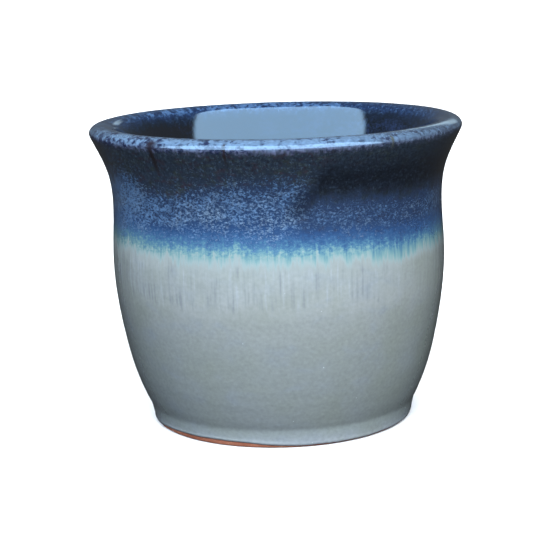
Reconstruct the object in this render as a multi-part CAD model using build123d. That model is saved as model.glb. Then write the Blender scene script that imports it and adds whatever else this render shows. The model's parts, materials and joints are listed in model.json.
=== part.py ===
from build123d import *
import math
import os

# Glazed earthenware flower pot with a flared, rolled lip, a trimmed foot and a drainage hole.
# One fired clay body carries four coats of glaze. Each coat is a thin solid that lies face to
# face on the clay and butts against the next coat, as the coats do after melting together.
# Millimetres. +Z is up, the origin is the centre of the foot's resting plane, and every piece
# is a section in radius and height, turned about the Z axis.

# ---- driving dimensions ---------------------------------------------------------------------
HEIGHT = 244.0            # resting plane to the top of the lip
LIP_RADIUS = 150.0        # widest point of the lip
LIP_HALF_WIDTH = 10.4     # the lip's section is an ellipse
LIP_HALF_HEIGHT = 6.7

FOOT_RADIUS = 105.6       # foot band at the resting plane, glaze included
FOOT_BAND_RADIUS = 109.0  # foot band where the bowl starts, glaze included
FOOT_BAND_HEIGHT = 15.0
BOWL_START_SLOPE = 0.50   # radius gained per unit of height just above the foot band

# The outer wall as (radius, height), glaze included.
HAUNCH = (118.1, 36.0)
LOWER_WALL = (127.3, 70.0)
BELLY = (134.9, 138.0)
NECK = (133.3, 174.0)
THROAT = (136.6, 206.0)

# Wall thickness at each of those heights, glaze included.
HAUNCH_THICKNESS = 16.0
LOWER_WALL_THICKNESS = 13.6
BELLY_THICKNESS = 13.2
NECK_THICKNESS = 13.2
THROAT_THICKNESS = 14.4

LIP_OUTER_ANGLE = -17.0   # degrees round the lip's section where the outer wall leaves it
LIP_INNER_ANGLE = 165.0   # and where the inner wall leaves it

FLOOR_TOP = 18.0          # glazed floor inside, above the resting plane
FLOOR_CORNER = 20.0       # radius of the corner between the floor and the inner wall
CORNER_LEAN = 24.0        # degrees from upright where the inner wall meets that corner

GLAZE = 0.8               # thickness of every coat
GLAZE_LINE = 4.6          # height at which the foot was wiped clean of glaze
GLAZE_ROLL = 1.3          # height of the glaze's rounded edge there
OVERLAP_BOTTOM = 146.0    # lowest reach of the turquoise band, where two coats overlap
OVERLAP_TOP = 164.0       # top of that band, where the blue coat starts

DRAIN_RADIUS = 12.5       # drainage hole through the floor
DRAIN_BARE_RIM = 3.0      # the liner stops this far from the hole
DRAIN_CORNER = 1.0        # rounding of both ends of the hole
FOOT_RING_WIDTH = 20.0    # width of the ring that the pot stands on
RECESS_DEPTH = 4.0        # height of the underside inside that ring
FOOT_CORNER = 2.0         # rounding of the ring's outer bottom edge
RING_CORNER = 1.8         # rounding of its inner bottom edge, and of the recess's corner

# ---- places worked out from them ------------------------------------------------------------
LIP_CENTRE = (LIP_RADIUS - LIP_HALF_WIDTH, HEIGHT - LIP_HALF_HEIGHT)
LEAN = math.radians(CORNER_LEAN)
CORNER_START = HAUNCH[0] - HAUNCH_THICKNESS
CORNER_CENTRE = (CORNER_START - FLOOR_CORNER * math.cos(LEAN), FLOOR_TOP + FLOOR_CORNER)
SECTION_REACH = 2 * LIP_RADIUS  # wider than any section


def band_radius(height):
    """Radius of the foot band's glazed face, which leans out evenly as it rises."""
    return FOOT_RADIUS + (FOOT_BAND_RADIUS - FOOT_RADIUS) * height / FOOT_BAND_HEIGHT


def lip_arc(start, end, inset):
    """Part of the lip's elliptical section, between two angles in degrees."""
    return EllipticalCenterArc(
        LIP_CENTRE,
        LIP_HALF_WIDTH - inset,
        LIP_HALF_HEIGHT - inset,
        start_angle=start,
        arc_size=end - start,
    )


def outer_wall(inset, lip):
    """The bowl's outside, from the foot band up to where the lip's arc starts."""
    waypoints = [(FOOT_BAND_RADIUS, FOOT_BAND_HEIGHT), HAUNCH, LOWER_WALL, BELLY, NECK, THROAT]
    points = [(radius - inset, height) for radius, height in waypoints]
    return Spline(points + [lip @ 0], tangents=[(BOWL_START_SLOPE, 1), lip % 0])


def inner_wall(inset, lip, corner):
    """The inside, from where the lip's arc ends down to the floor's corner."""
    waypoints = [
        (THROAT, THROAT_THICKNESS),
        (NECK, NECK_THICKNESS),
        (BELLY, BELLY_THICKNESS),
        (LOWER_WALL, LOWER_WALL_THICKNESS),
    ]
    points = [(wall[0] - thickness + inset, wall[1]) for wall, thickness in waypoints]
    return Spline([lip @ 1] + points + [corner @ 0], tangents=[lip % 1, corner % 0])


def skin(inset):
    """The pot's surface from the top of the foot band, over the lip and down to the floor.

    An inset of 0 gives the face of the glaze, and one of GLAZE gives the clay under it.
    """
    lip_outside = lip_arc(LIP_OUTER_ANGLE, 90, inset)
    lip_inside = lip_arc(90, LIP_INNER_ANGLE, inset)
    corner = CenterArc(CORNER_CENTRE, FLOOR_CORNER + inset, -CORNER_LEAN, CORNER_LEAN - 90)
    outside = outer_wall(inset, lip_outside)
    inside = inner_wall(inset, lip_inside, corner)
    return {
        "outside": outside,
        "lip_outside": lip_outside,
        "lip_inside": lip_inside,
        "inside": inside,
        "corner": corner,
    }


def turned(section):
    """The solid that a section in radius and height makes when it is turned about +Z."""
    return revolve(Plane.XZ * section, Axis.Z, 360)


def clay_body(clay):
    """The clay: bare foot ring, recessed underside, hole, and the surface under the glaze."""
    foot = (FOOT_RADIUS - GLAZE, 0)
    ring_inner = foot[0] - FOOT_RING_WIDTH
    base = FilletPolyline(
        foot,
        (ring_inner, 0),
        (ring_inner, RECESS_DEPTH),
        (DRAIN_RADIUS, RECESS_DEPTH),
        (DRAIN_RADIUS, FLOOR_TOP - GLAZE),
        clay["corner"] @ 1,
        radius=[RING_CORNER, RING_CORNER, DRAIN_CORNER, DRAIN_CORNER],
    )
    body = turned(make_face(Curve() + [Line(clay["outside"] @ 0, foot), base, *clay.values()]))
    resting_edges = body.edges().filter_by(GeomType.CIRCLE).filter_by_position(Axis.Z, 0, 0)
    return fillet(resting_edges.sort_by(SortBy.RADIUS)[-1], FOOT_CORNER)


def outer_glaze_section(face, clay):
    """The glaze outside, from its rolled edge above the foot to the top of the lip."""
    edge = (band_radius(GLAZE_LINE) - GLAZE, GLAZE_LINE)
    roll_top = (band_radius(GLAZE_LINE + GLAZE_ROLL), GLAZE_LINE + GLAZE_ROLL)
    roll = TangentArc(roll_top, edge, tangent=(FOOT_RADIUS - FOOT_BAND_RADIUS, -FOOT_BAND_HEIGHT))
    lines = [
        roll,
        Line(roll_top, face["outside"] @ 0),
        face["outside"],
        face["lip_outside"],
        Line(face["lip_outside"] @ 1, clay["lip_outside"] @ 1),
        clay["lip_outside"],
        clay["outside"],
        Line(clay["outside"] @ 0, edge),
    ]
    return make_face(Curve() + lines)


def liner_section(face, clay):
    """The glaze inside, from the top of the lip to its edge beside the drainage hole."""
    edge_radius = DRAIN_RADIUS + DRAIN_BARE_RIM
    floor_end = (edge_radius + GLAZE, FLOOR_TOP)
    clay_end = (edge_radius, FLOOR_TOP - GLAZE)
    lines = [
        face["lip_inside"],
        face["inside"],
        face["corner"],
        Line(face["corner"] @ 1, floor_end),
        TangentArc(floor_end, clay_end, tangent=(-1, 0)),
        Line(clay_end, clay["corner"] @ 1),
        clay["corner"],
        clay["inside"],
        clay["lip_inside"],
        Line(clay["lip_inside"] @ 0, face["lip_inside"] @ 0),
    ]
    return make_face(Curve() + lines)


def between(section, bottom, top):
    """The part of a section between two heights."""
    middle = (bottom + top) / 2
    window = Pos(0, middle) * Rectangle(2 * SECTION_REACH, top - bottom)
    return section & window


def main():
    face, clay = skin(0), skin(GLAZE)
    outer_glaze = outer_glaze_section(face, clay)
    pieces = {
        "clay_body": clay_body(clay),
        "grey_glaze": turned(between(outer_glaze, 0, OVERLAP_BOTTOM)),
        "overlap_glaze": turned(between(outer_glaze, OVERLAP_BOTTOM, OVERLAP_TOP)),
        "blue_glaze": turned(between(outer_glaze, OVERLAP_TOP, 2 * HEIGHT)),
        "liner_glaze": turned(liner_section(face, clay)),
    }
    os.makedirs("parts", exist_ok=True)
    for name, piece in pieces.items():
        export_step(piece, f"parts/{name}.step")


main()
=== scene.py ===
import bpy
import json
import math
import numpy as np
from mathutils import Matrix, Vector, noise
from types import SimpleNamespace


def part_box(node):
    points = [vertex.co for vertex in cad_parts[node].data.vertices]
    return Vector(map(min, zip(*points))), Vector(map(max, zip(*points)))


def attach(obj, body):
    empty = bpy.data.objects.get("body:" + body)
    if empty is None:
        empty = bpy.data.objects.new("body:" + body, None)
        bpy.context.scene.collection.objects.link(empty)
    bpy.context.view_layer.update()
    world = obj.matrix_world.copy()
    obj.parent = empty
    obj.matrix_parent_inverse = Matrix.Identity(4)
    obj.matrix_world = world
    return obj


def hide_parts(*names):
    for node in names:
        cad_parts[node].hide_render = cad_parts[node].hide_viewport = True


# A glazed earthenware flower pot: one clay body under four coats of glaze.
# Metres. +Z is up, and the origin is the centre of the foot's resting plane, as in the frame.
# Every coat is a closed shell that follows the pot's section, with the relief of the melted
# glaze in its mesh and the fine curdling, flecks and streaks in its material.

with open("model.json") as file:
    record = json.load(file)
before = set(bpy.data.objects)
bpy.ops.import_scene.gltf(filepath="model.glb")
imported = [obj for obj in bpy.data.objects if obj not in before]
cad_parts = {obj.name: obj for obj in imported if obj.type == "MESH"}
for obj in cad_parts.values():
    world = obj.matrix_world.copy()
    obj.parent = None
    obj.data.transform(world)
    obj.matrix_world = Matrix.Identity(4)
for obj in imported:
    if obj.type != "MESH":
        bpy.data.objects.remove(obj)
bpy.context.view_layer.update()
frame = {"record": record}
MM = 0.001
TINY = 1e-9               # metres, less than any distance that matters

# ---- sizes read from the frame --------------------------------------------------------------
LIP_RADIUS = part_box("blue_glaze")[1].x
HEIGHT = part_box("blue_glaze")[1].z
OVERLAP_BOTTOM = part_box("overlap_glaze")[0].z
OVERLAP_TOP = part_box("overlap_glaze")[1].z
MOUNTS = {mount["name"]: mount for mount in frame["record"]["mounts"]}
DRAIN_RADIUS = MOUNTS["drain_hole"]["dims"]["r_mm"] * MM

# ---- the section's other sizes, the same as the CAD model's ---------------------------------
GLAZE = 0.8 * MM          # thickness of every coat
FLOOR_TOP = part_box("liner_glaze")[0].z + GLAZE
LIP_HALF_WIDTH = 10.4 * MM
LIP_HALF_HEIGHT = 6.7 * MM
LIP_OUTER_ANGLE = math.radians(-17)   # where the outer wall leaves the lip's section
LIP_INNER_ANGLE = math.radians(165)   # and where the inner wall leaves it
FOOT_RADIUS = 105.6 * MM
FOOT_BAND_TOP = (109.0 * MM, 15.0 * MM)
BOWL_START_SLOPE = 0.50   # radius gained per unit of height just above the foot band
# The walls as (radius, height), glaze included.
OUTER_WALL = [
    (118.1 * MM, 36.0 * MM),
    (127.3 * MM, 70.0 * MM),
    (134.9 * MM, 138.0 * MM),
    (133.3 * MM, 174.0 * MM),
    (136.6 * MM, 206.0 * MM),
]
INNER_WALL = [
    (122.2 * MM, 206.0 * MM),
    (120.1 * MM, 174.0 * MM),
    (121.7 * MM, 138.0 * MM),
    (113.7 * MM, 70.0 * MM),
]
CORNER_START = 102.1 * MM           # radius at which the inner wall meets the floor's corner
CORNER_RADIUS = 20.0 * MM
CORNER_LEAN = math.radians(24)      # from upright, where they meet
FOOT_CORNER = 2.0 * MM
RING_CORNER = 1.8 * MM
FOOT_RING_WIDTH = 20.0 * MM
RECESS_DEPTH = 4.0 * MM
DRAIN_BARE_RIM = 3.0 * MM
DRAIN_CORNER = 1.0 * MM

# ---- the glaze's edge and relief ------------------------------------------------------------
WIPED_HEIGHT = 0.95                 # millimetres of bare clay at the foot in most places
# Where the foot was wiped higher: degrees round +Z from +X, half-width in degrees, and by how
# many millimetres.
WIPED = [(-125, 31, 3.0), (10, 22, 1.0), (64, 26, 2.6), (150, 20, 1.2)]
LOWEST_ANGLE = math.radians(-26)    # where the face's section starts on the foot's rounding
EDGE_TOP = 12 * MM                  # height below which the lower edge lies everywhere
EDGE_SPREAD = 14 * MM               # length over which the rows even out above that edge
EDGE_ROLL = 1.5 * MM                # length over which a coat's edge rounds off to the clay
BEAD_PLACE = 2.4 * MM               # from the lower edge to the bead of glaze that runs along it
BEAD_WIDTH = 1.2 * MM
BEAD_RISE = 0.16                    # millimetres
SINK = 0.14                         # millimetres, so that the relief stays inside the CAD box
UNEVENNESS = 0.0022                 # how far out of round and out of level the pot is, as a part
CREASE = 2.5 * MM                   # length over which the glaze rounds a crease in its section
CLAY_UNDER_EDGE = 3.0 * MM          # how far the clay's bare side goes on under the liner's edge

# ---- fineness of the meshes -----------------------------------------------------------------
AROUND = 540              # mesh columns round the pot
PATH_STEP = 0.1 * MM      # spacing of the points that a section is worked out from
AZIMUTHS = np.arange(AROUND) * 2 * math.pi / AROUND
# Distances in millimetres of the first rows from the coats' two edges, crowded at the rounding.
FOOT_EDGE_ROWS = np.array([0, 0.15, 0.35, 0.6, 0.9, 1.3, 1.8, 2.5, 3.4, 4.5])
HOLE_EDGE_ROWS = np.array([0, 0.15, 0.35, 0.6, 0.9, 1.3, 1.8, 2.5, 3.5, 5.0])
# Heights between which the lip's rows are closest, outside and inside, and above which the
# inside's are fine.
LIP_ROWS_OUTSIDE = 228 * MM
LIP_ROWS_INSIDE = 236 * MM
FINE_ROWS_INSIDE = 205 * MM
# The longest and the most bent stretch between two rows, on hidden sides and on bare clay.
HIDDEN_STRETCH = (16 * MM, math.radians(12))
BARE_STRETCH = (1.5 * MM, math.radians(15))


# ---- sections -------------------------------------------------------------------------------
def steps(length):
    """How many points a stretch of a section gets."""
    return max(2, int(length / PATH_STEP))


def arc(centre, half_width, half_height, start, end):
    """Points on part of an ellipse, as (radius, height) rows."""
    angles = np.linspace(start, end, steps(abs(end - start) * half_width))
    across = centre[0] + half_width * np.cos(angles)
    up = centre[1] + half_height * np.sin(angles)
    return np.column_stack([across, up])


def line(start, end):
    """Points on a straight stretch."""
    count = steps(math.dist(start, end))
    return np.column_stack([np.linspace(start[i], end[i], count) for i in (0, 1)])


def spline(points, start_direction, end_direction):
    """Points on the smooth cubic through the given ones, with both end directions set."""
    points = np.array(points, float)
    spans = np.linalg.norm(np.diff(points, axis=0), axis=1)
    last = len(points) - 1
    system = np.eye(last + 1)
    right = np.zeros_like(points)
    right[0] = np.array(start_direction) / np.linalg.norm(start_direction)
    right[last] = np.array(end_direction) / np.linalg.norm(end_direction)
    for i in range(1, last):
        before, after = 1 / spans[i - 1], 1 / spans[i]
        system[i, i - 1: i + 2] = before, 2 * (before + after), after
        rise_before = (points[i] - points[i - 1]) * before ** 2
        rise_after = (points[i + 1] - points[i]) * after ** 2
        right[i] = 3 * (rise_before + rise_after)
    slopes = np.linalg.solve(system, right)
    pieces = []
    for i in range(last):
        t = np.linspace(0, 1, steps(spans[i]))[:, None]
        pieces.append(
            (2 * t ** 3 - 3 * t ** 2 + 1) * points[i]
            + (t ** 3 - 2 * t ** 2 + t) * spans[i] * slopes[i]
            + (3 * t ** 2 - 2 * t ** 3) * points[i + 1]
            + (t ** 3 - t ** 2) * spans[i] * slopes[i + 1]
        )
    return np.concatenate(pieces)


class Section:
    """A line in radius and height, measured by the length along it."""

    def __init__(self, stretches, soften=0.0):
        path = np.concatenate(stretches)
        moved = np.linalg.norm(np.diff(path, axis=0), axis=1)
        path = path[np.append(True, moved > PATH_STEP / 100)]
        length = np.append(0, np.cumsum(np.linalg.norm(np.diff(path, axis=0), axis=1)))
        self.length = np.arange(0, length[-1], PATH_STEP)
        self.path = np.column_stack([np.interp(self.length, length, path[:, i]) for i in (0, 1)])
        if soften:
            self.path = softened(self.path, int(soften / PATH_STEP))
        along = np.gradient(self.path, axis=0)
        along /= np.linalg.norm(along, axis=1)[:, None]
        self.outward = np.column_stack([along[:, 1], -along[:, 0]])

    def at(self, length):
        """Radius and height at each length."""
        return [np.interp(length, self.length, self.path[:, i]) for i in (0, 1)]

    def facing(self, length):
        """The outward direction's radius and height parts at each length."""
        return [np.interp(length, self.length, self.outward[:, i]) for i in (0, 1)]

    def where(self, height, inside=False):
        """The length at which the outside, or the inside, passes a height."""
        top = int(np.argmax(self.path[:, 1]))
        part = slice(top, None) if inside else slice(0, top)
        nearest = int(np.argmin(np.abs(self.path[part, 1] - height)))
        return self.length[part][nearest]

    @property
    def top(self):
        """The length at the highest point."""
        return self.length[int(np.argmax(self.path[:, 1]))]


def softened(path, reach):
    """The path with its creases rounded by averaging each point with those near it."""
    padded = np.concatenate([np.repeat(path[:1], reach, 0), path, np.repeat(path[-1:], reach, 0)])
    weights = np.hanning(2 * reach + 3)[1:-1]
    weights /= weights.sum()
    out = np.column_stack([np.convolve(padded[:, i], weights, "valid") for i in (0, 1)])
    out[:reach], out[-reach:] = path[:reach], path[-reach:]
    return out


def foot_corner_centre():
    """Centre of the rounding under the clay's foot, and the foot side's lean from upright."""
    foot = FOOT_RADIUS - GLAZE
    lean = math.atan2(FOOT_BAND_TOP[0] - GLAZE - foot, FOOT_BAND_TOP[1])
    up_side = FOOT_CORNER * (1 - math.sin(lean)) / math.cos(lean)
    return (foot + up_side * math.sin(lean) - FOOT_CORNER * math.cos(lean), FOOT_CORNER), lean


def face_section():
    """The glaze's face, from low on the foot, over the lip, to the edge beside the hole."""
    foot_centre, lean = foot_corner_centre()
    lip_centre = (LIP_RADIUS - LIP_HALF_WIDTH, HEIGHT - LIP_HALF_HEIGHT)
    foot_reach = FOOT_CORNER + GLAZE
    foot = arc(foot_centre, foot_reach, foot_reach, LOWEST_ANGLE, -lean)
    lip = arc(lip_centre, LIP_HALF_WIDTH, LIP_HALF_HEIGHT, LIP_OUTER_ANGLE, LIP_INNER_ANGLE)
    floor_centre = (CORNER_START - CORNER_RADIUS * math.cos(CORNER_LEAN), FLOOR_TOP + CORNER_RADIUS)
    bend = arc(floor_centre, CORNER_RADIUS, CORNER_RADIUS, -CORNER_LEAN, -math.pi / 2)
    outside = spline([FOOT_BAND_TOP, *OUTER_WALL, lip[0]], (BOWL_START_SLOPE, 1), lip[1] - lip[0])
    inside = spline([lip[-1], *INNER_WALL, bend[0]], lip[-1] - lip[-2], bend[1] - bend[0])
    hole_edge = (DRAIN_RADIUS + DRAIN_BARE_RIM, FLOOR_TOP)
    stretches = [foot, line(foot[-1], FOOT_BAND_TOP), outside, lip, inside, bend]
    return Section([*stretches, line(bend[-1], hole_edge)], soften=CREASE)


FACE = face_section()
FACE_END = FACE.length[-1]
SEAMS = {
    "overlap_bottom": FACE.where(OVERLAP_BOTTOM),
    "overlap_top": FACE.where(OVERLAP_TOP),
    "lip": FACE.top,
}


# ---- relief ---------------------------------------------------------------------------------
def eased(value, low, high):
    """0 below low, 1 above high, and a smooth rise between."""
    t = np.clip((value - low) / (high - low), 0, 1)
    return t * t * (3 - 2 * t)


def sampled(points, size, stretch=1.0, seed=0.0):
    """Smooth noise at each point, with lumps of the given size, drawn out in height."""
    scale = Vector((1 / size, 1 / size, 1 / (size * stretch)))
    offset = Vector((seed, seed * 0.7, seed * 1.3))
    flat = points.reshape(-1, 3)
    values = [noise.noise(Vector(point) * scale + offset) for point in flat]
    return np.array(values).reshape(points.shape[:-1])


def turned(radius, height):
    """Points round the pot at a radius and height given for each row and column."""
    x = radius * np.cos(AZIMUTHS)
    y = radius * np.sin(AZIMUTHS)
    return np.stack([x, y, height + 0 * x], axis=-1)


def wobbled(points):
    """The points moved a little inward, because a thrown pot is never quite round or level."""
    angle = np.arctan2(points[..., 1], points[..., 0])
    rise = eased(points[..., 2], 0, HEIGHT)
    squeeze = (2 + np.sin(2 * angle + 0.6) + np.sin(3 * angle + 2.1)) * rise / 4
    drop = (1 + np.sin(2 * angle + 4.0)) * rise / 2
    moved = points.copy()
    moved[..., :2] *= (1 - UNEVENNESS * squeeze)[..., None]
    moved[..., 2] *= 1 - UNEVENNESS * drop
    return moved


def glaze_line(angle):
    """Height above the foot's resting plane at which the glaze stops, round the pot."""
    height = WIPED_HEIGHT + 0.12 * np.sin(9 * angle + 1.0) + 0.08 * np.sin(23 * angle)
    for middle, half_width, rise in WIPED:
        away = np.degrees(np.angle(np.exp(1j * (angle - math.radians(middle)))))
        height = height + rise * np.exp(-(away / half_width) ** 4)
    return height * MM


def row_lengths():
    """Where the rows of the coats' mesh lie along the section."""
    edge = FACE.length[0] + FOOT_EDGE_ROWS * MM
    hole = FACE_END - HOLE_EDGE_ROWS[::-1] * MM
    fine_inside = FACE.where(FINE_ROWS_INSIDE, inside=True)
    rolled_in = FACE.where(LIP_ROWS_INSIDE, inside=True)
    rolled_out = FACE.where(LIP_ROWS_OUTSIDE)
    # Each span's start, end and spacing in millimetres.
    spans = [
        (edge[-1], SEAMS["overlap_bottom"], 1.5),
        (SEAMS["overlap_bottom"], SEAMS["overlap_top"], 1.0),
        (SEAMS["overlap_top"], rolled_out, 1.3),
        (rolled_out, SEAMS["lip"], 0.6),
        (SEAMS["lip"], rolled_in, 0.6),
        (rolled_in, fine_inside, 1.2),
        (fine_inside, hole[0], 3.2),
    ]
    rows = [edge]
    for start, end, spacing in spans:
        count = math.ceil((end - start) / (spacing * MM))
        rows.append(np.linspace(start, end, count + 1)[1:])
    rows.append(hole[1:])
    return np.concatenate(rows)


def thinned(section, lengths, longest, sharpest):
    """Which lengths to keep so that no stretch between them is too long or bends too much."""
    across, up = section.facing(lengths)
    heading = np.unwrap(np.arctan2(up, across))
    kept = [0]
    for i in range(1, len(lengths) - 1):
        too_long = lengths[i + 1] - lengths[kept[-1]] > longest
        if too_long or abs(heading[i + 1] - heading[kept[-1]]) > sharpest:
            kept.append(i)
    return np.append(kept, len(lengths) - 1)


class Skin:
    """The glaze's whole face as one grid of points, which the four coats divide up."""

    def __init__(self):
        rows = row_lengths()
        self.rows = rows
        shift = self.edge_shift()
        fading = 1 - eased(rows, 0, EDGE_SPREAD)
        self.length = rows[:, None] + fading[:, None] * shift[None, :]
        radius, height = FACE.at(self.length)
        across, up = FACE.facing(self.length)
        plain = turned(radius, height)
        self.run = self.runs(plain)
        rise = self.relief(plain, height) - GLAZE * self.roll()
        face = turned(radius + across * rise, height + up * rise)
        self.face = wobbled(face)
        back = turned(radius - across * GLAZE, height - up * GLAZE)
        self.back = wobbled(back)
        self.sparse = self.sparse_rows()
        along = np.gradient(self.face, axis=0)
        around = np.roll(self.face, -1, axis=1) - np.roll(self.face, 1, axis=1)
        normals = np.cross(around, along)
        self.normals = normals / np.linalg.norm(normals, axis=-1)[..., None]

    def sparse_rows(self):
        """The rows that are enough for the hidden sides, with both ends and every seam."""
        seams = sorted(int(np.argmin(np.abs(self.rows - length))) for length in SEAMS.values())
        ends = [0, *seams, len(self.rows) - 1]
        kept = []
        for start, end in zip(ends, ends[1:]):
            part = thinned(FACE, self.rows[start: end + 1], *HIDDEN_STRETCH)
            kept.append(start + part)
        return np.unique(np.concatenate(kept))

    def edge_shift(self):
        """How far along the section the lower edge moves at each column."""
        outside = FACE.length < FACE.where(EDGE_TOP)
        wanted = glaze_line(AZIMUTHS)
        return np.interp(wanted, FACE.path[outside, 1], FACE.length[outside]) - FACE.length[0]

    def roll(self):
        """1 where a coat's edge meets the clay, 0 where it has its full thickness."""
        from_foot = (self.rows - self.rows[0]) / EDGE_ROLL
        from_hole = (self.rows[-1] - self.rows) / EDGE_ROLL
        nearest = np.clip(np.minimum(from_foot, from_hole), 0, 1)
        return (1 - np.sqrt(1 - (1 - nearest) ** 2))[:, None]

    def runs(self, plain):
        """How much the glaze has run at each point: about -1 in the gaps, 1 on a run."""
        wide = sampled(plain, 9 * MM, stretch=9, seed=3)
        narrow = sampled(plain, 4.5 * MM, stretch=12, seed=11)
        return 1.2 * wide + 0.8 * narrow

    def relief(self, plain, height):
        """How far the glaze's face stands out from the even section."""
        inside = (self.rows > SEAMS["lip"])[:, None]
        ringed = 1 - eased(height, 215 * MM, 240 * MM)
        # The noise of the thrown rings hardly changes round the pot, and much along its section.
        unrolled = np.stack([0.15 * plain[..., 0], 0.15 * plain[..., 1], self.length], axis=-1)
        rings = sampled(unrolled, 6.5 * MM, seed=5) * ringed
        broad = sampled(plain, 45 * MM, seed=8)
        uneven = sampled(plain, 16 * MM, stretch=1.6, seed=21)
        running = eased(height, 95 * MM, 125 * MM) * (1 - eased(height, 158 * MM, 175 * MM))
        running = np.where(inside, 0.0, running)
        from_bead = self.rows - self.rows[0] - BEAD_PLACE
        bead = np.exp(-(from_bead / BEAD_WIDTH) ** 2)[:, None]
        rise = 0.10 * rings + 0.16 * broad + 0.05 * uneven + 0.12 * self.run * running
        return (rise - SINK) * MM * (1 - bead) + BEAD_RISE * MM * bead

    def coat(self, name, first, last):
        """The closed shell of the coat between two lengths along the section."""
        keep = np.flatnonzero((self.rows >= first - TINY) & (self.rows <= last + TINY))
        hidden = self.sparse[(self.sparse >= keep[0]) & (self.sparse <= keep[-1])][::-1]
        # At the coat's thin edge the face itself reaches the clay, so the back leaves that row out.
        if first <= self.rows[0]:
            hidden = hidden[:-1]
        if last >= self.rows[-1]:
            hidden = hidden[1:]
        grid = np.concatenate([self.face[keep], self.back[hidden]])
        normals = np.concatenate([self.normals[keep], -self.normals[hidden]])
        piece = ring_mesh(name, grid, normals)
        from_edge = np.minimum(self.rows - self.rows[0], self.rows[-1] - self.rows) / MM
        from_edge = from_edge[:, None] + 0 * self.run
        for layer_name, values in (("run", self.run), ("from_edge", from_edge)):
            layer = piece.data.attributes.new(layer_name, "FLOAT", "POINT")
            both_sides = np.concatenate([values[keep], values[hidden]])
            layer.data.foreach_set("value", both_sides.ravel().astype(np.float32))
        return piece


# ---- meshes ---------------------------------------------------------------------------------
def ring_mesh(name, grid, normals=None):
    """A closed shell from a grid of points whose rows and columns both join up."""
    rows, columns = grid.shape[:2]
    index = np.arange(rows * columns).reshape(rows, columns)
    next_row = np.roll(index, -1, axis=0)
    corners = [index, np.roll(index, -1, axis=1), np.roll(next_row, -1, axis=1), next_row]
    faces = np.stack(corners, axis=-1).reshape(-1, 4)
    mesh = bpy.data.meshes.new(name)
    mesh.from_pydata(grid.reshape(-1, 3).tolist(), [], faces.tolist())
    mesh.shade_smooth()
    if normals is not None:
        mesh.normals_split_custom_set_from_vertices(normals.reshape(-1, 3).tolist())
    mesh.update()
    piece = bpy.data.objects.new(name, mesh)
    bpy.context.scene.collection.objects.link(piece)
    return piece


def bare_section():
    """The clay's bare side, from beside the hole, under the foot, to where the bowl starts."""
    foot_centre, lean = foot_corner_centre()
    ring_inner = FOOT_RADIUS - GLAZE - FOOT_RING_WIDTH
    side_top = (FOOT_BAND_TOP[0] - GLAZE, FOOT_BAND_TOP[1])
    inner_centre = (ring_inner + RING_CORNER, RING_CORNER)
    step_centre = (ring_inner - RING_CORNER, RECESS_DEPTH - RING_CORNER)
    low_hole = (DRAIN_RADIUS + DRAIN_CORNER, RECESS_DEPTH + DRAIN_CORNER)
    high_hole = (DRAIN_RADIUS + DRAIN_CORNER, FLOOR_TOP - GLAZE - DRAIN_CORNER)
    floor_end = (DRAIN_RADIUS + DRAIN_BARE_RIM + CLAY_UNDER_EDGE, FLOOR_TOP - GLAZE)
    stretches = [
        line(floor_end, (high_hole[0], floor_end[1])),
        arc(high_hole, DRAIN_CORNER, DRAIN_CORNER, math.pi / 2, math.pi),
        arc(low_hole, DRAIN_CORNER, DRAIN_CORNER, math.pi, 3 * math.pi / 2),
        arc(step_centre, RING_CORNER, RING_CORNER, math.pi / 2, 0),
        arc(inner_centre, RING_CORNER, RING_CORNER, math.pi, 3 * math.pi / 2),
        arc(foot_centre, FOOT_CORNER, FOOT_CORNER, -math.pi / 2, -lean),
    ]
    stretches.append(line(stretches[-1][-1], side_top))
    return Section(joined(stretches))


def joined(stretches):
    """The stretches with a straight line across each gap between them."""
    out = [stretches[0]]
    for stretch in stretches[1:]:
        out += [line(out[-1][-1], stretch[0]), stretch]
    return out


def clay_body(skin):
    """The fired clay, with turning marks where it is bare."""
    bare = bare_section()
    lengths = bare.length[thinned(bare, bare.length, *BARE_STRETCH)]
    radius, height = bare.at(lengths)
    across, up = bare.facing(lengths)
    radius, height = radius[:, None], height[:, None]
    plain = turned(radius + 0 * AZIMUTHS, height + 0 * AZIMUTHS)
    marks = sampled(plain * np.array([0.2, 0.2, 1.0]) + radius[..., None], 2.2 * MM, seed=31)
    grain = sampled(plain, 3.0 * MM, seed=37)
    depth = (0.14 + 0.10 * marks + 0.05 * grain) * MM * eased(lengths, 0, 2 * MM)[:, None]
    depth = np.clip(depth, 0, None)
    shown = turned(radius - across[:, None] * depth, height - up[:, None] * depth)
    lowest = FACE.where(FOOT_BAND_TOP[1] + 1.5 * MM)
    highest = FACE_END - 2 * CLAY_UNDER_EDGE
    covered = [row for row in skin.sparse if lowest < skin.rows[row] < highest]
    return ring_mesh("fired_clay", np.concatenate([wobbled(shown), skin.back[covered]]))


# ---- shader helpers -------------------------------------------------------------------------
def srgb(red, green, blue):
    """A colour given as on a screen, 0 to 255, as the linear values that shaders take."""
    screen = [part / 255 for part in (red, green, blue)]
    linear = [p / 12.92 if p <= 0.04045 else ((p + 0.055) / 1.055) ** 2.4 for p in screen]
    return (*linear, 1.0)


class Value:
    """An output of a shader tree that arithmetic can be written with."""

    def __init__(self, graph, socket):
        self.graph = graph
        self.socket = socket

    def __add__(self, other):
        return self.graph.math("ADD", self, other)

    def __sub__(self, other):
        return self.graph.math("SUBTRACT", self, other)

    def __rsub__(self, other):
        return self.graph.math("SUBTRACT", other, self)

    def __mul__(self, other):
        return self.graph.math("MULTIPLY", self, other)

    __radd__ = __add__
    __rmul__ = __mul__


NOISE_SPREAD = 3.2        # brings the noise texture's values, which keep near 0.5, to -1 to 1


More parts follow.
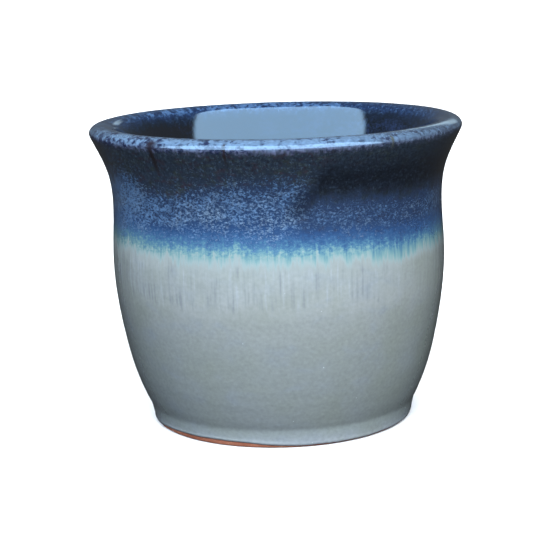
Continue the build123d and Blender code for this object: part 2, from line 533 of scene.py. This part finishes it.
class Graph:
    """Adds nodes to a shader tree, one short call each."""

    def __init__(self, tree):
        self.tree = tree
        self.place = None

    def node(self, kind, inputs=(), **settings):
        """A new node with its settings, and a link or a constant for each named input."""
        made = self.tree.nodes.new("ShaderNode" + kind)
        for name, value in settings.items():
            setattr(made, name, value)
        for name, value in dict(inputs).items():
            self.plug(made.inputs[name], value)
        return made

    def plug(self, target, value):
        """Links a value to an input, or sets the input to a constant."""
        if isinstance(value, Value):
            self.tree.links.new(value.socket, target)
        else:
            target.default_value = value

    def out(self, node, name=0):
        """A node's output, by name or number."""
        return Value(self, node.outputs[name])

    def math(self, operation, *values):
        """The result of one operation on numbers."""
        return self.out(self.node("Math", dict(enumerate(values)), operation=operation))

    def split(self, vector):
        """A vector's three parts."""
        parts = self.node("SeparateXYZ", {0: vector})
        return [self.out(parts, name) for name in "XYZ"]

    def radius(self):
        """Distance from the pot's axis."""
        x, y = self.split(self.place)[:2]
        return self.math("SQRT", x * x + y * y)

    def eased(self, value, low, high):
        """0 below low, 1 above high, and a smooth rise between."""
        inputs = {"Value": value, "From Min": low, "From Max": high}
        return self.out(self.node("MapRange", inputs, interpolation_type="SMOOTHSTEP"))

    def between(self, value, start, full, fade, end):
        """0 outside start to end, 1 from full to fade."""
        return self.eased(value, start, full) * (1 - self.eased(value, fade, end))

    def noise(self, size, stretch=1.0, detail=2.0, distortion=0.0, seed=0.0):
        """Smooth noise with lumps of a size, drawn out in height: about -1 to 1."""
        scale = (1 / size, 1 / size, 1 / (size * stretch))
        inputs = {"Vector": self.place, "Location": (seed, seed * 0.7, seed * 1.3), "Scale": scale}
        scaled = self.out(self.node("Mapping", inputs))
        inputs = {"Vector": scaled, "Scale": 1.0, "Detail": detail, "Distortion": distortion}
        return (self.out(self.node("TexNoise", inputs)) - 0.5) * NOISE_SPREAD

    def ramp(self, value, stops, low, high):
        """The colour at a value between low and high, from (value, colour) stops."""
        inputs = {"Value": value, "From Min": low, "From Max": high}
        position = self.out(self.node("MapRange", inputs))
        made = self.node("ValToRGB", {"Fac": position})
        elements = made.color_ramp.elements
        while len(elements) < len(stops):
            elements.new(1.0)
        for element, (at, colour) in zip(elements, stops):
            element.position = (at - low) / (high - low)
            element.color = colour
        return self.out(made, "Color")

    def curve(self, value, points, low, high, top):
        """A number, up to top, that follows (value, number) points with straight lines between."""
        stops = [(at, (level / top,) * 3 + (1.0,)) for at, level in points]
        return self.ramp(value, stops, low, high) * top

    def grey(self, value):
        """A number as a colour."""
        return self.out(self.node("CombineColor", {"Red": value, "Green": value, "Blue": value}))

    def mix(self, factor, first, second, blend="MIX"):
        """Two colours mixed: the first at factor 0, the second at 1."""
        made = self.node("Mix", data_type="RGBA", blend_type=blend)
        # The node's inputs and outputs for other types come first and share these names.
        self.plug(made.inputs["Factor"], factor)
        self.plug(made.inputs[6], first)
        self.plug(made.inputs[7], second)
        return self.out(made, 2)

    def attribute(self, name):
        """A number stored on the mesh."""
        return self.out(self.node("Attribute", attribute_name=name), "Fac")

    def dots(self, spacing, radius, seed=0.0):
        """1 in small round dots, scattered about a spacing apart."""
        inputs = {"Vector": self.place, "Location": (seed,) * 3, "Scale": (1 / spacing,) * 3}
        scaled = self.out(self.node("Mapping", inputs))
        distance = self.out(self.node("TexVoronoi", {"Vector": scaled, "Scale": 1.0}), "Distance")
        return 1 - self.eased(distance, 0.5 * radius / spacing, radius / spacing)


def material(name, look, **constants):
    """A material whose colour, roughness and bump come from a look, and the rest is constant."""
    made = bpy.data.materials.new(name)
    made.use_nodes = True
    graph = Graph(made.node_tree)
    shader = made.node_tree.nodes["Principled BSDF"]
    for socket, value in constants.items():
        shader.inputs[socket.replace("_", " ")].default_value = value
    graph.place = graph.out(graph.node("TexCoord"), "Object")
    colour, roughness, relief = look(graph)
    graph.plug(shader.inputs["Base Color"], colour)
    graph.plug(shader.inputs["Roughness"], roughness)
    inputs = {"Strength": 1.0, "Distance": MM, "Height": relief}
    graph.plug(shader.inputs["Normal"], graph.out(graph.node("Bump", inputs)))
    return made


# ---- looks ----------------------------------------------------------------------------------
# Heights in the looks are in millimetres, and masks run from 0 to 1.
TOP = HEIGHT / MM

# The outside's colours by height, under the flecks and streaks.
OUTER_STOPS = [
    (0, srgb(150, 156, 162)),
    (6, srgb(144, 151, 154)),
    (12, srgb(134, 142, 141)),
    (17, srgb(128, 134, 133)),
    (26, srgb(132, 138, 137)),
    (45, srgb(128, 134, 133)),
    (70, srgb(129, 135, 133)),
    (106, srgb(138, 143, 141)),
    (116, srgb(146, 151, 149)),
    (132, srgb(145, 151, 150)),
    (146, srgb(144, 151, 149)),
    (150, srgb(142, 157, 156)),
    (154, srgb(118, 149, 150)),
    (158, srgb(95, 133, 143)),
    (162, srgb(69, 108, 136)),
    (167, srgb(50, 82, 120)),
    (172, srgb(39, 65, 103)),
    (180, srgb(36, 53, 82)),
    (198, srgb(36, 50, 75)),
    (207, srgb(37, 47, 63)),
    (214, srgb(38, 47, 60)),
    (TOP, srgb(36, 45, 56)),
]
# The inside's, the same way.
INNER_STOPS = [
    (0, srgb(11, 13, 18)),
    (230, srgb(12, 14, 20)),
    (234, srgb(14, 20, 34)),
    (238, srgb(22, 34, 60)),
    (241, srgb(38, 60, 94)),
    (TOP, srgb(46, 70, 106)),
]
# The clay's, from its darkest tone, -2, to its palest, 2.
CLAY_STOPS = [
    (-2, srgb(98, 52, 38)),
    (-0.6, srgb(142, 80, 57)),
    (0.6, srgb(168, 106, 80)),
    (2, srgb(196, 148, 122)),
]
# How far the outer glaze runs in millimetres, how thick its flecks lie, and its roughness, each
# by height.
REACH_POINTS = [
    (0, 0), (92, 0), (120, 7), (134, 8), (147, 7), (154, 6.5), (161, 4), (168, 2.5), (190, 3),
    (204, 4), (228, 4), (238, 2), (TOP, 0),
]
FLECK_POINTS = [
    (0, 0), (156, 0), (162, 0.35), (170, 0.6), (182, 0.9), (196, 0.85), (204, 0.5), (214, 0.1),
    (TOP, 0),
]
# On the glaze the roughness stays under 0.27, except at its toasted edge: the render's denoiser
# treats rougher surfaces differently, and the border between the two would show as a line.
ROUGHNESS_POINTS = [
    (0, 0.25), (110, 0.245), (146, 0.21), (158, 0.16), (200, 0.16), (214, 0.11), (TOP, 0.13),
]

GREENISH = srgb(126, 132, 120)
BLUISH = srgb(126, 134, 141)
STREAK_DARK = srgb(114, 120, 126)
STREAK_PALE = srgb(163, 172, 178)
PINHOLE = srgb(196, 202, 204)
FLECK = srgb(88, 120, 157)
FLECK_PALE = srgb(110, 132, 155)
PURPLISH = srgb(40, 42, 58)
NEAR_BLACK = srgb(12, 14, 22)
OLIVE = srgb(46, 50, 38)
RUSTY = srgb(56, 42, 50)
SPECK = srgb(80, 96, 112)
SPLINTER = srgb(58, 74, 94)
HAIR_DARK = srgb(24, 22, 30)
HAIR_PALE = srgb(64, 74, 78)
LIP_NAVY = srgb(28, 36, 64)
LIP_BLUE = srgb(92, 118, 146)
LIP_LAVENDER = srgb(100, 104, 132)
LIP_INNER_NAVY = srgb(16, 30, 58)
LIP_INNER_BLUE = srgb(62, 90, 126)
LIP_SLATE = srgb(60, 68, 78)
INNER_NAVY = srgb(34, 47, 78)
# The painted shade of the lower inside's left.
INNER_PAINTED_SHADE = srgb(22, 16, 15)
INNER_CURDS = srgb(76, 108, 144)
TOASTED = srgb(96, 62, 46)
GROG = srgb(196, 158, 130)
PIT = srgb(84, 46, 36)
TURNING_PITCH = 1.3 * MM
# Drips down from the lip: degrees round from the front, half-width in degrees, lowest height,
# and colour.
DRIPS = [
    (-38.5, 1.0, 214, srgb(30, 20, 20)),
    (-38.0, 2.6, 232, srgb(34, 24, 34)),
    (-14.6, 0.5, 222, srgb(34, 24, 26)),
    (35.0, 0.5, 229, srgb(66, 68, 58)),
    (97.0, 0.9, 219, srgb(32, 24, 24)),
    (-151.0, 0.7, 223, srgb(44, 44, 40)),
]
DRIP_FADE = 9             # height over which a drip's lower end fades out


def lip_colour(g, side, height):
    """The curdled blue where the glaze is thin over the lip, shared by both sides of it."""
    curdle = g.noise(4.0 * MM, stretch=0.7, detail=3, distortion=0.5, seed=51)
    patch = g.noise(15 * MM, detail=2, seed=53)
    spot = g.noise(2.0 * MM, detail=2, distortion=0.6, seed=55)
    low = 1 - g.eased(height + 1.5 * patch + curdle, 234, 240.5)
    inner = g.eased(g.radius() * (1 / MM) + 2.0 * curdle, 143, 135)
    navy = g.mix(inner, LIP_NAVY, LIP_INNER_NAVY)
    pale = g.mix(inner, g.mix(low, LIP_BLUE, LIP_LAVENDER), LIP_INNER_BLUE)
    navy = g.mix(0.7 * g.eased(spot + 0.7 * curdle, -0.3, 1.1) * inner, navy, LIP_INNER_BLUE)
    sides = 0.6 * g.math("ABSOLUTE", side) + 0.8 * g.eased(side, 0.1, 0.7) * inner
    cover = 1.1 * curdle + 0.7 * patch - sides + 0.55 - 0.25 * low - 0.4 * inner
    colour = g.mix(g.eased(cover, -0.55, 0.55), navy, pale)
    return g.mix(0.5 * g.eased(side, 0.1, 0.8) * (1 - inner), colour, LIP_SLATE)


def toasted_edge(g, mottle):
    """The coat's thin, browned edge, where it meets the clay."""
    return 1 - g.eased(g.attribute("from_edge") + 0.3 * mottle, 0.5, 1.6)


def outer_places(g):
    """What the outside's looks follow at each point: where it is, the dip, and the noises."""
    x, y, z = g.split(g.place)
    # Side is -1 at the lip's left end and 1 at its right, and turn is in degrees from the front.
    at = SimpleNamespace(height=z * (1 / MM), side=x * (1 / LIP_RADIUS))
    at.turn = g.math("ARCTAN2", x, y * -1) * math.degrees(1)
    at.streak = g.noise(2.6 * MM, stretch=12, seed=2)
    at.thread = g.noise(1.4 * MM, stretch=7, seed=4)
    at.cloud = g.noise(26 * MM, stretch=0.6, seed=6)
    at.bank = g.noise(13 * MM, stretch=0.4, detail=2, seed=7)
    at.worm = g.noise(1.9 * MM, stretch=0.65, detail=1.5, distortion=1.0, seed=9)
    at.curd = g.noise(3.6 * MM, stretch=0.7, detail=3, seed=12)
    at.patchy = g.noise(9 * MM, stretch=0.5, detail=2, seed=13)
    at.mottle = g.noise(2.6 * MM, detail=3, seed=14)
    at.drift = g.noise(17 * MM, stretch=0.6, detail=3, distortion=0.4, seed=16)
    at.wide = g.noise(34 * MM, detail=2, seed=17)
    at.lines = g.noise(2.8 * MM, stretch=13, detail=1.5, seed=19)
    at.hair = g.noise(1.5 * MM, stretch=6, detail=1, seed=57)

    # The pot was dipped once more on its right side, up to a slanting edge near the front.
    at.slant = (at.height - 187) * 0.18
    near_edge = g.eased(at.turn - at.slant + at.bank, 3.5, 10)
    at.dipped = near_edge * (1 - g.eased(at.turn + at.slant + at.bank, 131, 138))
    at.drawn = g.between(at.height, 166, 192, 212, 233)
    return at


def flowed(g, at):
    """The height that each point's glaze has run down from, which decides its colour."""
    height, turn, worm, curd = at.height, at.turn, at.worm, at.curd
    reach = g.curve(height, REACH_POINTS, 0, TOP, 10)
    moved = height + reach * (0.6 * at.streak + 0.35 * at.thread + 0.45 * g.attribute("run"))

    # The whole border with the blue coat lies lower or higher in places.
    lower_line = 2.4 * at.side + 3.0 * g.between(turn, 24, 46, 56, 70)
    lower_line = lower_line - 1.5 * g.between(turn, -66, -58, -52, -46)
    moved = moved + g.between(height, 130, 148, 234, 240) * (1.2 * at.cloud + lower_line)

    # The turquoise run is curdled, and hangs in spikes over the grey.
    moved = moved + g.between(height, 152, 158, 168, 177) * (3.2 * curd + 2.2 * worm)
    moved = moved + g.between(height, 150, 160, 196, 206) * (2.2 * worm + 2.6 * curd)
    spike = g.noise(1.7 * MM, stretch=10, detail=1, seed=15)
    moved = moved - g.between(height, 145, 150, 157, 166) * 5.5 * g.eased(spike, 0.1, 0.9)
    moved = moved + g.between(height, 143, 148, 154, 162) * 2.5 * g.eased(-1 * spike, 0.2, 1.0)

    # The dark coat comes down lower in some places round the pot than in others.
    crest = g.between(turn, -34, -12, 40, 60) * (1 - at.dipped)
    low_left = g.between(turn, -52, -44, -36, -26)
    high_left = g.eased(turn, -50, -60)
    drawn_down = 5.5 * at.dipped - 6.5 * crest + 4 * low_left - 4.5 * high_left + 2.5 * at.bank
    return moved + at.drawn * drawn_down


def grey_coat(g, at, colour):
    """Broad green and grey clouds, flow streaks high up, and pinholes."""
    green = g.eased(at.wide + 0.7 * g.math("ABSOLUTE", at.side + 0.1) - 0.2, -0.5, 1.2) * at.in_grey
    colour = g.mix(green * 0.5, colour, GREENISH)
    colour = g.mix(g.eased(at.drift - 0.5 * at.wide, 0.0, 1.3) * at.in_grey * 0.6, colour, BLUISH)
    dark = at.in_streaks * g.eased(at.lines + 0.5 * at.cloud, 0.0, 1.0)
    colour = g.mix(dark * 0.6, colour, STREAK_DARK)
    pale = at.in_streaks * g.eased(-1 * at.lines, 0.1, 1.0)
    colour = g.mix(pale * 0.4, colour, STREAK_PALE)
    pin = g.dots(15 * MM, 0.5 * MM, seed=23) * at.in_grey
    return g.mix(pin * 0.7, colour, PINHOLE)


def outer_shade(g, at):
    """How much the curdling and the glaze's thickness lighten or darken the outside, with painted
    light on its lower right.
    """
    fading = 1 - 0.5 * g.eased(at.height, 90, 125)
    curdled = 0.09 * at.mottle + 0.09 * at.curd * fading + 0.03 * at.drift
    left_line = g.between(at.moved, 136, 144, 150, 155) * g.eased(-1 * at.side, 0.35, 0.8)
    # Painted light: the lower right of the outside is made lighter, standing in for light that
    # falls there.
    painted_light_low_right = g.between(at.height, 16, 24, 45, 95) * g.eased(at.side, 0.45, 0.85)
    shade = 1 + at.in_grey * curdled + 0.16 * left_line + 0.10 * painted_light_low_right
    depth = 0.22 + 0.06 * at.dipped
    return shade + depth * (at.mottle + at.curd) * g.eased(at.moved, 200, 215)


def flecks(g, at):
    """The pale flecks of the blue coat, which thin out upwards."""
    density = g.curve(at.moved, FLECK_POINTS, 0, TOP, 1)
    threshold = 0.5 - 0.95 * density + 0.2 * at.dipped
    threshold = threshold - 0.35 * g.eased(at.turn, -44, -56) - 0.3 * g.eased(at.turn, 52, 66)
    fleck = g.eased(at.worm + 0.25 * at.bank + 0.4 * at.curd, threshold, threshold + 1.05)
    return fleck * g.eased(at.moved, 154, 164)


def blue_coat(g, at, colour):
    """The flecks, then near-black with olive and rusty patches and scattered specks."""
    pale = g.mix(g.eased(at.cloud + 0.6 * at.thread, -0.4, 0.9), FLECK, FLECK_PALE)
    tinted = g.eased(at.patchy, 0.1, 0.9) * g.between(at.moved, 168, 176, 204, 210)
    colour = g.mix(tinted * (0.4 + 0.25 * at.dipped), colour, PURPLISH)
    colour = g.mix(at.fleck * (0.9 - 0.3 * at.dipped - 0.25 * tinted), colour, pale)
    olive = g.eased(at.bank + 0.5 * at.streak + 0.7 * at.curd, -0.2, 1.2) * at.in_dark
    colour = g.mix(olive * (0.7 - 0.2 * at.dipped), colour, OLIVE)
    rusty = g.eased(at.patchy - 0.9 * at.curd, 0.0, 1.1) * at.in_dark
    colour = g.mix(rusty * (0.65 - 0.4 * at.dipped), colour, RUSTY)

    # The dipped side is darkest, with a tail that hangs down along its edge.
    beside = g.between(at.turn - at.slant + at.bank, 0, 5, 7, 13)
    tail = beside * g.between(at.height, 180, 190, 200, 210)
    colour = g.mix(tail * 0.55, colour, NEAR_BLACK)
    darkest = at.drawn * at.dipped * g.eased(at.moved + 2 * at.curd, 198, 215)
    colour = g.mix(darkest * 0.8, colour, NEAR_BLACK)
    scattered = g.eased(g.noise(1.9 * MM, detail=2, seed=27), 0.1, 1.0)
    speck = scattered * at.in_dark * (1 - 0.6 * at.dipped)
    return g.mix(speck * 0.55, colour, SPECK)


def outer_lip(g, at, colour):
    """Splinters and fine hairs under the lip, its curdled blue, and the drips down from it."""
    hairy = g.between(at.height, 214, 229, 236, 242)
    splinter = at.in_dark * g.eased(at.curd, 0.1, 1.1) * 0.4 * (1 - 0.5 * at.dipped)
    colour = g.mix(splinter, colour, SPLINTER)
    colour = g.mix(hairy * g.eased(at.hair, 0.1, 0.8) * 0.7, colour, HAIR_DARK)
    pale_hair = hairy * g.eased(-1 * at.hair, 0.1, 0.9) * (0.5 - 0.25 * at.dipped)
    colour = g.mix(pale_hair, colour, HAIR_PALE)
    colour = g.mix(at.on_lip, colour, lip_colour(g, at.side, at.height))
    for middle, half_width, lowest, drip_colour in DRIPS:
        away = g.math("ABSOLUTE", at.turn - middle + 0.35 * at.thread + 0.25 * at.mottle)
        drip = 1 - g.eased(away, 0.3 * half_width, 1.3 * half_width)
        drip = drip * g.eased(at.height, lowest, lowest + DRIP_FADE)
        colour = g.mix(drip * (1 - g.eased(at.height, 240, 243)) * 0.85, colour, drip_colour)
    return colour


def outer_look(g):
    """The grey coat below, the blue one above, and the turquoise run where they overlap."""
    at = outer_places(g)
    at.moved = flowed(g, at)
    at.in_grey = 1 - g.eased(at.moved, 140, 150)
    at.in_streaks = g.between(at.moved, 112, 120, 142, 149) * (1 - 0.6 * g.eased(at.turn, 24, 48))
    at.in_dark = g.between(at.moved, 198, 210, 240, 246)
    at.on_lip = g.eased(at.height + 2.0 * at.streak + 2.2 * at.hair + 1.8 * at.bank, 231.5, 238)
    at.fleck = flecks(g, at)
    toasted = toasted_edge(g, at.mottle)

    colour = g.ramp(at.moved, OUTER_STOPS, 0, TOP)
    colour = grey_coat(g, at, colour)
    colour = blue_coat(g, at, colour)
    colour = outer_lip(g, at, colour)
    colour = g.mix(toasted * 0.85, colour, TOASTED)
    colour = g.mix(1.0, colour, g.grey(outer_shade(g, at)), blend="MULTIPLY")

    roughness = g.curve(at.moved, ROUGHNESS_POINTS, 0, TOP, 1)
    roughness = roughness + 0.06 * at.fleck + 0.015 * at.wide + 0.3 * toasted
    peel = g.noise(1.6 * MM, detail=2, seed=33)
    relief = 0.012 * peel + 0.02 * at.mottle * at.in_grey + 0.03 * at.fleck
    relief = relief + 0.05 * at.in_streaks * at.lines + 0.02 * at.on_lip * at.thread
    return colour, roughness, relief


def inner_look(g):
    """The near-black liner, breaking to blue under the lip, with painted shade on its left."""
    x, y, z = g.split(g.place)
    height = z * (1 / MM)
    side = x * (1 / LIP_RADIUS)
    streak = g.noise(3.0 * MM, stretch=5, seed=62)
    thread = g.noise(1.4 * MM, stretch=4, seed=4)
    bank = g.noise(15 * MM, detail=2, seed=64)
    mottle = g.noise(2.4 * MM, detail=3, distortion=0.6, seed=14)
    reach = g.between(height, 205, 224, 238, TOP)
    moved = height + reach * (2.6 * streak + 1.2 * thread + 2.2 * bank)
    colour = g.ramp(moved, INNER_STOPS, 0, TOP)
    deep = 1 - g.eased(moved, 226, 236)
    # Painted shade: towards the left the lower inside is darkened to brown-black.
    colour = g.mix(g.eased(-1 * side, -0.1, 0.7) * deep * 0.7, colour, INNER_PAINTED_SHADE)
    blue = g.eased(1.3 * mottle + 0.7 * bank + 1.1 * side, -0.2, 1.6) * deep
    colour = g.mix(blue * 0.8, colour, INNER_NAVY)
    curdle = g.eased(mottle, 0.0, 1.0) * g.eased(moved, 229, 240)
    colour = g.mix(curdle * 0.45, colour, INNER_CURDS)
    on_lip = g.eased(height + 1.2 * streak + thread, 237.5, 240.5)
    colour = g.mix(on_lip, colour, lip_colour(g, side, height))
    toasted = toasted_edge(g, mottle)
    colour = g.mix(toasted * 0.85, colour, TOASTED)

    # On the floor the glaze has pooled in a ring.
    on_floor = 1 - g.eased(height, 19, 30)
    pooled = g.between(g.radius() * (1 / MM) + 3 * bank, 40, 62, 74, 92) * on_floor
    colour = g.mix(pooled * g.eased(mottle + 0.8 * bank, -0.8, 1.0) * 0.6, colour, INNER_NAVY)
    roughness = 0.06 + 0.05 * curdle + 0.03 * on_floor * g.eased(bank, -0.5, 1.0) + 0.3 * toasted
    ripple = g.noise(9 * MM, detail=1, seed=66)
    return colour, roughness, 0.03 * ripple + 0.008 * mottle


def clay_look(g):
    """Fired reddish clay, with grog, fine turning lines and darker, hotter patches."""
    height = g.split(g.place)[2]
    grain = g.noise(0.9 * MM, detail=3, seed=41)
    patch = g.noise(16 * MM, detail=3, seed=43)
    wave = g.noise(30 * MM, seed=45)
    smear = g.noise(34 * MM, detail=4, distortion=1.2, seed=46)
    across_lines = (g.radius() + height) * (2 * math.pi / TURNING_PITCH)
    turned_lines = g.math("SINE", across_lines + 2.5 * wave)
    tone = 0.5 * grain + 1.1 * patch + 0.7 * smear + 0.4 * turned_lines
    colour = g.ramp(tone, CLAY_STOPS, -2, 2)
    grog = g.dots(3.4 * MM, 0.45 * MM, seed=47)
    colour = g.mix(grog * 0.6, colour, GROG)
    pit = g.dots(6.1 * MM, 0.5 * MM, seed=49)
    colour = g.mix(pit * 0.7, colour, PIT)
    relief = 0.05 * grain + 0.05 * turned_lines + 0.06 * grog - 0.12 * pit
    return colour, 0.82 + 0.05 * grain, relief


# The glaze mirrors bluish, as it does under a blue sky.
GLOSS = {
    "IOR": 1.9,
    "Specular_Tint": (0.45, 0.78, 1.0, 1.0),
    "Coat_Weight": 1.0,
    "Coat_Roughness": 0.03,
    "Coat_IOR": 1.5,
}


# ---- pieces ---------------------------------------------------------------------------------
def place(piece, node, finish):
    """Gives a piece its material and puts it in the place of its CAD node."""
    piece.data.materials.append(finish)
    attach(piece, "root")
    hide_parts(node)


def make_pot():
    """The four coats and the clay under them."""
    skin = Skin()
    coats = {
        "grey_glaze": (FACE.length[0], SEAMS["overlap_bottom"], outer_look),
        "overlap_glaze": (SEAMS["overlap_bottom"], SEAMS["overlap_top"], outer_look),
        "blue_glaze": (SEAMS["overlap_top"], SEAMS["lip"], outer_look),
        "liner_glaze": (SEAMS["lip"], FACE_END, inner_look),
    }
    for name, (first, last, look) in coats.items():
        coat = skin.coat(name + "_coat", first, last)
        place(coat, name, material(name, look, **GLOSS))
    place(clay_body(skin), "clay_body", material("clay", clay_look))


# ---- camera, light and floor ----------------------------------------------------------------
CAMERA_PLACE = (0.0, -1.300, 0.3817)
CAMERA_DOWN = 0.20235     # radians that the camera looks down
CAMERA_LEFT = 0.00284     # radians that it looks left of the pot's axis
CAMERA_ROLL = 0.028       # radians that it is rolled to the right
CAMERA_LENS = 105.86      # millimetres, like the sensor's width
SENSOR_WIDTH = 36

# The softboxes: degrees round from the camera's side, half-width, lowest and highest
# elevation and soft edge in degrees, strength, and colour.
SOFTBOXES = [
    (-3.5, 70.5, 3, 66, 2.5, 3.0, (0.78, 0.97, 1.22)),
    (165, 8, 11, 20, 3, 0.6, (0.7, 0.95, 1.1)),
]
# The soft lamps, which light without being mirrored: degrees round, elevation, width as seen
# from the pot in degrees, strength, and colour.
LAMPS = [
    (10, 45, 50, 3.8, (1.0, 0.93, 0.81)),
    (200, 40, 60, 2.5, (1.0, 0.97, 0.93)),
]
ROOM_ABOVE = (0.09, 0.11, 0.135)
ROOM_BELOW = (0.03, 0.03, 0.03)
BACKDROP = (0.90, 0.91, 0.92)   # what the camera itself sees behind the floor
FLOOR_RADIUS = 30         # metres


def make_camera():
    """The camera, in front of the pot and looking down at it a little."""
    data = bpy.data.cameras.new("camera")
    data.lens = CAMERA_LENS
    data.sensor_width = SENSOR_WIDTH
    camera = bpy.data.objects.new("camera", data)
    turn = Matrix.Rotation(CAMERA_LEFT, 4, "Z")
    tip = Matrix.Rotation(math.pi / 2 - CAMERA_DOWN, 4, "X")
    roll = Matrix.Rotation(-CAMERA_ROLL, 4, "Z")
    camera.matrix_world = Matrix.Translation(CAMERA_PLACE) @ turn @ tip @ roll
    bpy.context.scene.collection.objects.link(camera)
    bpy.context.scene.camera = camera


def floor_look(g):
    """Pale, smooth studio floor, with a very faint grain."""
    grain = g.noise(4 * MM, detail=2, seed=71)
    shade = 0.88 + 0.006 * grain
    return g.grey(shade), 0.9, 0.02 * grain


def make_floor():
    """A round floor. The pot mirrors and is lit by the room below the horizon in its place."""
    bpy.ops.mesh.primitive_circle_add(vertices=96, radius=FLOOR_RADIUS, fill_type="NGON")
    floor = bpy.context.object
    floor.name = "studio_floor"
    floor.visible_diffuse = False
    floor.visible_glossy = False
    floor.data.materials.append(material("studio_floor", floor_look))


def make_lamps():
    """The soft lamps, as wide suns."""
    for turn, elevation, width, strength, tint in LAMPS:
        data = bpy.data.lights.new("lamp", "SUN")
        data.energy = strength
        data.angle = math.radians(width)
        data.color = tint
        lamp = bpy.data.objects.new("lamp", data)
        lamp.rotation_euler = (math.radians(90 - elevation), 0, math.radians(turn))
        lamp.visible_glossy = False
        bpy.context.scene.collection.objects.link(lamp)


def make_world():
    """A dim room with a large softbox in front of the pot, and a smaller one behind."""
    world = bpy.data.worlds.new("studio")
    world.use_nodes = True
    bpy.context.scene.world = world
    g = Graph(world.node_tree)
    x, y, z = g.split(g.out(g.node("TexCoord"), "Generated"))
    elevation = g.math("ARCSINE", z) * math.degrees(1)
    azimuth = g.math("ARCTAN2", x, y * -1) * math.degrees(1)
    light = g.mix(g.eased(elevation, -1, 1), (*ROOM_BELOW, 1.0), (*ROOM_ABOVE, 1.0))
    for middle, half_width, low, high, soft, strength, tint in SOFTBOXES:
        away = g.math("ABSOLUTE", g.math("WRAP", azimuth - middle, 180.0, -180.0))
        across = 1 - g.eased(away, half_width - soft, half_width + soft)
        up = g.between(elevation, low - soft, low + soft, high - soft, high + soft)
        inputs = {0: tint, "Scale": across * up * strength}
        lit = g.out(g.node("VectorMath", inputs, operation="SCALE"))
        light = g.out(g.node("VectorMath", {0: light, 1: lit}, operation="ADD"))
    seen = g.out(g.node("LightPath"), "Is Camera Ray")
    colour = g.mix(seen, light, (*BACKDROP, 1.0))
    g.plug(world.node_tree.nodes["Background"].inputs["Color"], colour)


make_pot()
make_camera()
make_floor()
make_lamps()
make_world()
bpy.context.scene.view_settings.view_transform = "Standard"
